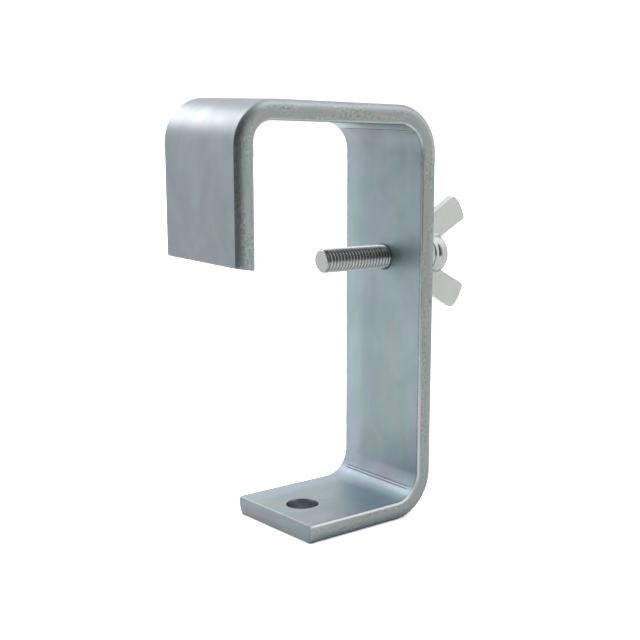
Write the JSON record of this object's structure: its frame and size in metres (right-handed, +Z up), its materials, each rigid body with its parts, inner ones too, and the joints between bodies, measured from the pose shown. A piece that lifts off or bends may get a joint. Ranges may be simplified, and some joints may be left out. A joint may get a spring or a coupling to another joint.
{
  "type": "pipe clamp",
  "caption": "Hook clamp bent from flat bar: an open hook over a stage pipe, a wing screw through the long side to lock it, and a drilled foot for the fixture.",
  "frame": {"origin": "on the flat underside of the crown, at mid-width, where a 48.3 mm pipe held against the lip touches it", "axes": "+Z up along the spine, +X from the lip towards the spine and the wing head, +Y across the flat bar and along the pipe"},
  "size_m": [0.1039, 0.04, 0.1345],
  "materials": {
    "bracket_zinc": "satin bright zinc plate on bent mild steel bar, faint iridescence, rough sheared edges",
    "thread_zinc": "bright zinc plate on rolled steel thread",
    "wing_zinc": "smooth casting, bright zinc plated, light grey"
  },
  "bodies": {
    "bracket": {"hook_bracket": "bracket_zinc"},
    "screw": {"clamp_screw": "thread_zinc"},
    "wing": {"wing_head": "wing_zinc"}
  },
  "joints": [
    {"name": "screw_advance", "type": "slide", "parent": "bracket", "child": "screw", "axis": [-1, 0, 0], "range_m": [-0.025, 0.0085]},
    {"name": "wing_turn", "type": "hinge", "parent": "screw", "child": "wing", "pos_m": [0.06085, 0, -0.0433], "axis": [-1, 0, 0], "range_deg": [-7200, 2448]}
  ],
  "couplings": [
    {"joint": "screw_advance", "follows": "wing_turn", "m_per_rad": 0.00019894}
  ]
}
